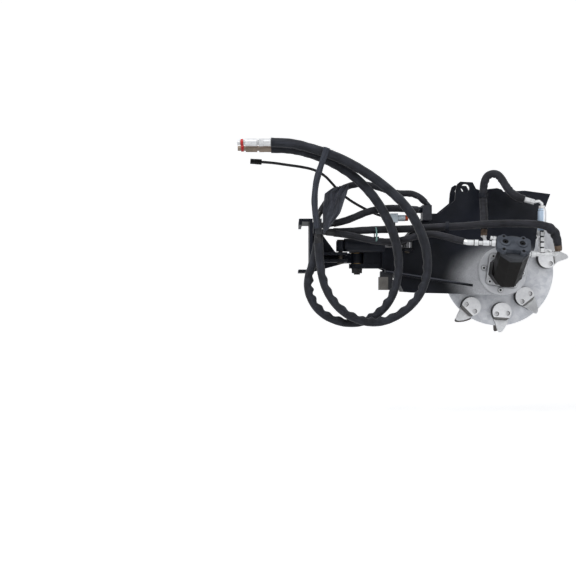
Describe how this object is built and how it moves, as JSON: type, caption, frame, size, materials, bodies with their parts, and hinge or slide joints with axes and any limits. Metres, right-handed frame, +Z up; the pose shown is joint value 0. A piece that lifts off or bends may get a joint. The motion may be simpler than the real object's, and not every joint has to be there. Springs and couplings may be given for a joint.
{
  "type": "stump grinder attachment",
  "caption": "Swing-arm stump grinder for a small loader: hitch plate, hinged boom with wheel guard, hydraulic motor, toothed cutter wheel and sleeved hoses.",
  "frame": {"origin": "centre of the hitch plate's rear face, which rests on the loader's carrier", "axes": "+X from the hitch to the cutter wheel, +Z up, -Y towards the motor"},
  "size_m": [1.3757, 0.4419, 0.7805],
  "materials": {
    "dark_paint": "semi-gloss near-black paint, dust and rubbed edges",
    "zinc_plate": "bright zinc plating",
    "bare_steel": "mottled galvanised and bare steel",
    "chrome_rod": "ground and chromed",
    "bronze": "machined bronze",
    "motor_black": "satin black cast iron",
    "motor_grey": "grey-blue painted cast iron",
    "hose_sleeve": "woven nylon protective sleeve",
    "webbing": "woven dark slate textile",
    "cable_plastic": "matt black sheath"
  },
  "bodies": {
    "hitch_frame": {"hitch_plate": "dark_paint", "base_plates": "dark_paint", "base_webs": "dark_paint", "pivot_knuckle": "dark_paint", "pivot_bushes": "bronze", "cylinder_base_pin": "zinc_plate", "hose_manifold": "bare_steel", "manifold_bracket": "dark_paint", "manifold_fittings": "zinc_plate", "hose_strap": "webbing", "textile_sleeve": "webbing", "supply_hose_a": "hose_sleeve", "supply_hose_b": "hose_sleeve", "case_drain_hose": "hose_sleeve", "upper_hose": "hose_sleeve", "motor_hose_long": "hose_sleeve", "motor_hose_short": "hose_sleeve", "control_cable": "cable_plastic", "coupler_bodies": "zinc_plate", "cable_plug": "cable_plastic"},
    "coupler_collar_a": {"coupler_collar_a": "zinc_plate"},
    "coupler_collar_b": {"coupler_collar_b": "zinc_plate"},
    "boom": {"swing_pin": "zinc_plate", "swing_pin_nut": "zinc_plate", "clevis_plates": "dark_paint", "boom_end_plate": "dark_paint", "boom_side_near": "dark_paint", "boom_side_far": "dark_paint", "boom_top_plate": "dark_paint", "boom_bottom_plate": "dark_paint", "boom_ledges": "dark_paint", "stand_foot": "bare_steel", "guard_roof": "dark_paint", "guard_cheek": "bare_steel", "rod_lugs": "dark_paint", "rod_pin": "zinc_plate", "hose_bulkhead": "zinc_plate", "hose_clamps": "dark_paint", "solenoid_valve": "zinc_plate", "loop_hose": "hose_sleeve", "motor_mount_ring": "bare_steel", "motor_bolts": "zinc_plate", "motor_front_housing": "motor_black", "motor_barrel_housing": "motor_black", "motor_rear_cover": "motor_grey", "port_plugs": "motor_black", "left_port_fitting": "zinc_plate", "right_port_fitting": "zinc_plate", "check_valve": "zinc_plate", "drain_elbow": "zinc_plate", "shaft_bearings": "bare_steel", "bearing_housing": "dark_paint"},
    "cutter_wheel": {"cutter_disc": "bare_steel", "drive_shaft": "bare_steel", "tooth_holders": "bare_steel", "teeth": "bare_steel", "holder_screws": "motor_black"},
    "cylinder_barrel": {"cylinder_barrel": "dark_paint", "cylinder_gland": "dark_paint"},
    "cylinder_rod": {"cylinder_rod": "chrome_rod"}
  },
  "joints": [
    {"name": "boom_swing", "type": "hinge", "parent": "hitch_frame", "child": "boom", "pos_m": [0.203, 0, -0.05], "axis": [0, 0, 1], "range_deg": [-20, 20], "deforming": ["supply_hose_a", "supply_hose_b", "case_drain_hose", "upper_hose", "motor_hose_long", "motor_hose_short", "control_cable", "hose_strap", "textile_sleeve"]},
    {"name": "cutter_spin", "type": "hinge", "parent": "boom", "child": "cutter_wheel", "pos_m": [0.802, 0, -0.102], "axis": [0, 1, 0], "continuous": true},
    {"name": "cylinder_turn", "type": "hinge", "parent": "hitch_frame", "child": "cylinder_barrel", "pos_m": [0.126, -0.12, 0.002], "axis": [0, 0, 1], "range_deg": [-14.2, 14.2]},
    {"name": "cylinder_stroke", "type": "slide", "parent": "cylinder_barrel", "child": "cylinder_rod", "axis": [0.999, 0.0438, 0], "range_m": [-0.0412, 0.0412]},
    {"name": "collar_a_pull", "type": "slide", "parent": "hitch_frame", "child": "coupler_collar_a", "axis": [1, 0, 0], "range_m": [0, 0.006], "stiffness_N_per_m": 600},
    {"name": "collar_b_pull", "type": "slide", "parent": "hitch_frame", "child": "coupler_collar_b", "axis": [1, 0, 0], "range_m": [0, 0.006], "stiffness_N_per_m": 600}
  ],
  "couplings": [
    {"joint": "cylinder_turn", "follows": "boom_swing", "ratio": 0.7},
    {"joint": "cylinder_stroke", "follows": "boom_swing", "m_per_rad": 0.1165}
  ]
}
